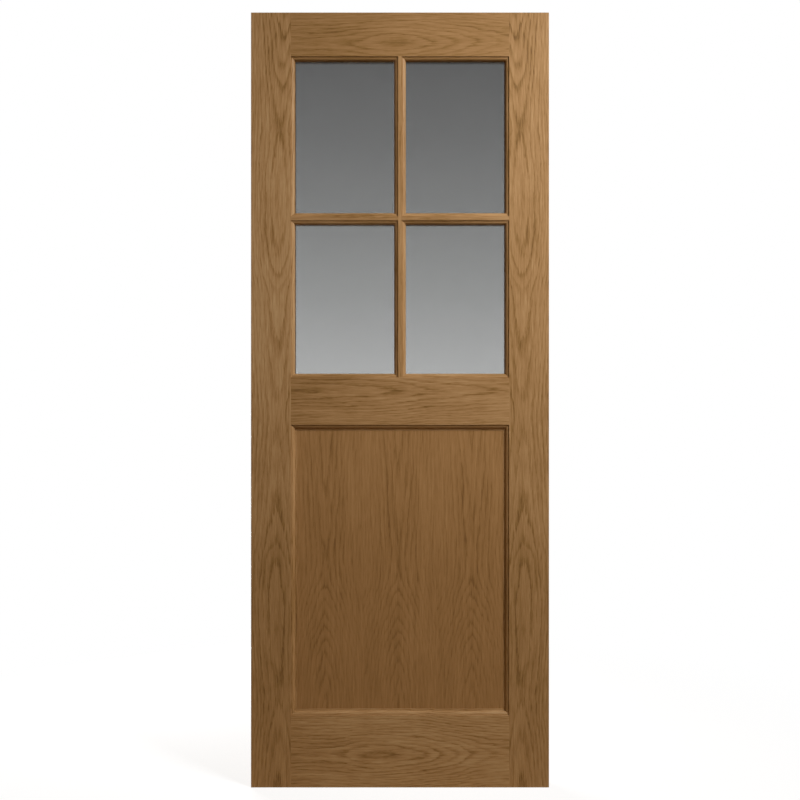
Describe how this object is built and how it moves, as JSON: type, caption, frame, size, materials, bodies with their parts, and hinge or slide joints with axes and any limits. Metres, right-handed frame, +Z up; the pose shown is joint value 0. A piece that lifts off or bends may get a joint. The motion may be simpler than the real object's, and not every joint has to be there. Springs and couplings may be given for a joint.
{
  "type": "glazed exterior door leaf",
  "caption": "Oak exterior door leaf with small-pane glazing over a flat panel: moulded stiles and rails, halved glazing bars, sealed units held by loose beads.",
  "frame": {"origin": "middle of the hinge edge: half way up the leaf and half way through its thickness", "axes": "+X from the hinge edge to the latch edge, +Y from the outside face to the inside face, +Z up"},
  "size_m": [0.762, 0.044, 1.981],
  "materials": {
    "oak_stile": "satin lacquered flat-sawn oak, grain upright",
    "oak_rail": "satin lacquered flat-sawn oak, grain across",
    "oak_bar": "satin lacquered straight-grained oak, moulded",
    "oak_bead": "satin lacquered straight-grained oak, moulded and mitred",
    "oak_veneer_panel": "satin lacquered slip-matched oak veneer, grain upright",
    "grey_glass": "grey tinted float glass",
    "clear_glass": "clear float glass",
    "unit_spacer": "champagne anodised spacer",
    "glazing_tape": "brown closed-cell foam tape",
    "setting_block": "black moulded rubber"
  },
  "bodies": {
    "root": {"bead_lower_left_bottom": "oak_bead", "bead_lower_left_left": "oak_bead", "bead_lower_left_right": "oak_bead", "bead_lower_left_top": "oak_bead", "bead_lower_right_bottom": "oak_bead", "bead_lower_right_left": "oak_bead", "bead_lower_right_right": "oak_bead", "bead_lower_right_top": "oak_bead", "bead_upper_left_bottom": "oak_bead", "bead_upper_left_left": "oak_bead", "bead_upper_left_right": "oak_bead", "bead_upper_left_top": "oak_bead", "bead_upper_right_bottom": "oak_bead", "bead_upper_right_left": "oak_bead", "bead_upper_right_right": "oak_bead", "bead_upper_right_top": "oak_bead", "bottom_rail": "oak_rail", "cross_bar": "oak_bar", "glazing_tape_back": "glazing_tape", "glazing_tape_front": "glazing_tape", "hinge_stile": "oak_stile", "inner_pane_lower_left": "clear_glass", "inner_pane_lower_right": "clear_glass", "inner_pane_upper_left": "clear_glass", "inner_pane_upper_right": "clear_glass", "latch_stile": "oak_stile", "lock_rail": "oak_rail", "outer_pane_lower_left": "grey_glass", "outer_pane_lower_right": "grey_glass", "outer_pane_upper_left": "grey_glass", "outer_pane_upper_right": "grey_glass", "panel": "oak_veneer_panel", "setting_blocks": "setting_block", "spacer_lower_left": "unit_spacer", "spacer_lower_right": "unit_spacer", "spacer_upper_left": "unit_spacer", "spacer_upper_right": "unit_spacer", "top_rail": "oak_rail", "vertical_bar": "oak_bar"}
  },
  "joints": []
}
